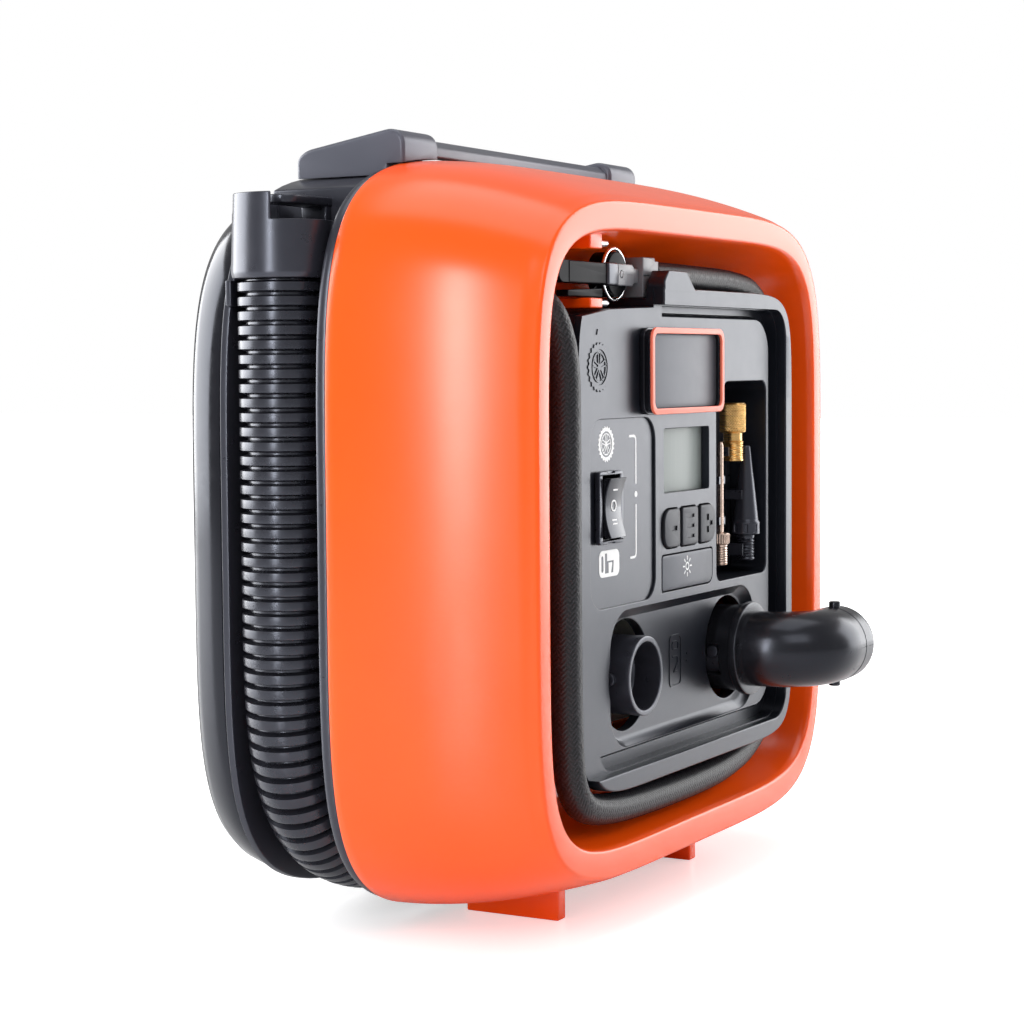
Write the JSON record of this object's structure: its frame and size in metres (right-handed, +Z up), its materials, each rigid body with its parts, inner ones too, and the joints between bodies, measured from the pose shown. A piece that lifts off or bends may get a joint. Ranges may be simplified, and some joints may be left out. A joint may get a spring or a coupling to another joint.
{
  "type": "tire inflator",
  "caption": "Upright electric inflator with a top handle, control panel, woven air hose and chuck round the panel, ribbed low-pressure hose in a rim groove, air ports and stored nozzles.",
  "frame": {"origin": "bottom centre of the whole object's box, on the floor", "axes": "+X to the right as the panel is read, +Y from the panel to the back, +Z up"},
  "size_m": [0.2454, 0.1566, 0.2383],
  "materials": {
    "orange_plastic": "satin",
    "black_plastic": "satin",
    "panel_plastic": "satin",
    "gloss_black": "gloss",
    "rubber": "matt",
    "woven_black": "woven cover",
    "badge_orange": "satin",
    "display": "gloss",
    "chrome": "polished",
    "brass": "turned and knurled",
    "nickel": "nickel plated",
    "steel": "bright",
    "board_green": "satin",
    "nylon": "matt",
    "alloy": "cast"
  },
  "bodies": {
    "casing": {"front_shell": "orange_plastic", "mid_frame": "black_plastic", "rear_cover": "gloss_black", "rear_screw_1": "steel", "rear_screw_2": "steel", "rear_screw_3": "steel", "rear_screw_4": "steel", "cord_gland": "rubber", "rear_foot": "rubber", "carry_handle": "black_plastic", "volume_hose": "rubber", "hose_cuff_left": "black_plastic", "hose_cuff_right": "black_plastic", "parking_pin_upper": "steel", "parking_pin_lower": "steel", "front_panel": "panel_plastic", "badge_plate": "gloss_black", "badge_frame": "badge_orange", "switch_housing": "black_plastic", "display_window": "display", "display_module": "nylon", "control_board": "board_green", "inflate_port": "black_plastic", "deflate_port": "black_plastic", "air_hose": "woven_black", "air_fitting": "black_plastic", "hose_ferrule": "panel_plastic", "chuck_body": "gloss_black", "chuck_pin": "steel", "chuck_ring": "chrome", "accessory_clips": "black_plastic", "chassis_plate": "nylon", "blower_housing": "panel_plastic", "blower_motor": "steel", "motor_cradle": "panel_plastic", "pump_frame": "alloy", "pump_motor": "steel", "cylinder": "alloy", "cylinder_head": "alloy", "air_line": "rubber", "power_board": "board_green"},
    "rocker": {"rocker": "gloss_black"},
    "key_minus": {"key_minus": "rubber"},
    "key_unit": {"key_unit": "rubber"},
    "key_plus": {"key_plus": "rubber"},
    "key_light": {"key_light": "rubber"},
    "chuck_lever": {"chuck_lever": "gloss_black"},
    "elbow": {"elbow_adaptor": "black_plastic"},
    "presta_adapter": {"presta_adapter": "brass"},
    "ball_needle": {"ball_needle": "nickel"},
    "taper_nozzle": {"taper_nozzle": "black_plastic"},
    "motor_rotor": {"pump_shaft": "steel", "drive_pinion": "steel"},
    "crank": {"crank_wheel": "nylon"},
    "piston": {"piston": "alloy", "connecting_rod": "alloy"},
    "blower_rotor": {"blower_impeller": "nylon", "blower_shaft": "steel"}
  },
  "joints": [
    {"name": "rocker_tilt", "type": "hinge", "parent": "casing", "child": "rocker", "pos_m": [-0.055, -0.0367, 0.1267], "axis": [1, 0, 0], "range_deg": [-7, 7]},
    {"name": "key_minus_press", "type": "slide", "parent": "casing", "child": "key_minus", "axis": [0, 1, 0], "range_m": [0, 0.0008], "stiffness_N_per_m": 300},
    {"name": "key_unit_press", "type": "slide", "parent": "casing", "child": "key_unit", "axis": [0, 1, 0], "range_m": [0, 0.0008], "stiffness_N_per_m": 300},
    {"name": "key_plus_press", "type": "slide", "parent": "casing", "child": "key_plus", "axis": [0, 1, 0], "range_m": [0, 0.0008], "stiffness_N_per_m": 300},
    {"name": "key_light_press", "type": "slide", "parent": "casing", "child": "key_light", "axis": [0, 1, 0], "range_m": [0, 0.0008], "stiffness_N_per_m": 300},
    {"name": "chuck_lever_squeeze", "type": "hinge", "parent": "casing", "child": "chuck_lever", "pos_m": [-0.037, -0.0367, 0.1957], "axis": [0, 1, 0], "range_deg": [0, 3], "stiffness_Nm_per_rad": 0.5},
    {"name": "elbow_twist", "type": "hinge", "parent": "casing", "child": "elbow", "pos_m": [0.038, -0.0375, 0.075], "axis": [0, 1, 0], "range_deg": [0, 25]},
    {"name": "presta_adapter_pull", "type": "slide", "parent": "casing", "child": "presta_adapter", "axis": [0, -1, 0], "range_m": [0, 0.026]},
    {"name": "ball_needle_pull", "type": "slide", "parent": "casing", "child": "ball_needle", "axis": [0, -1, 0], "range_m": [0, 0.026]},
    {"name": "taper_nozzle_pull", "type": "slide", "parent": "casing", "child": "taper_nozzle", "axis": [0, -1, 0], "range_m": [0, 0.026]},
    {"name": "motor_spin", "type": "hinge", "parent": "casing", "child": "motor_rotor", "pos_m": [-0.048, 0.0008, 0.139], "axis": [0, 1, 0], "continuous": true},
    {"name": "crank_spin", "type": "hinge", "parent": "casing", "child": "crank", "pos_m": [-0.02175, 0.0023, 0.139], "axis": [0, 1, 0], "continuous": true},
    {"name": "piston_stroke", "type": "slide", "parent": "casing", "child": "piston", "axis": [0, 0, 1], "range_m": [0, 0.012]},
    {"name": "blower_spin", "type": "hinge", "parent": "casing", "child": "blower_rotor", "pos_m": [0.038, 0.0103, 0.075], "axis": [0, 1, 0], "continuous": true}
  ],
  "couplings": [
    {"joint": "motor_spin", "follows": "crank_spin", "ratio": -2.5}
  ]
}
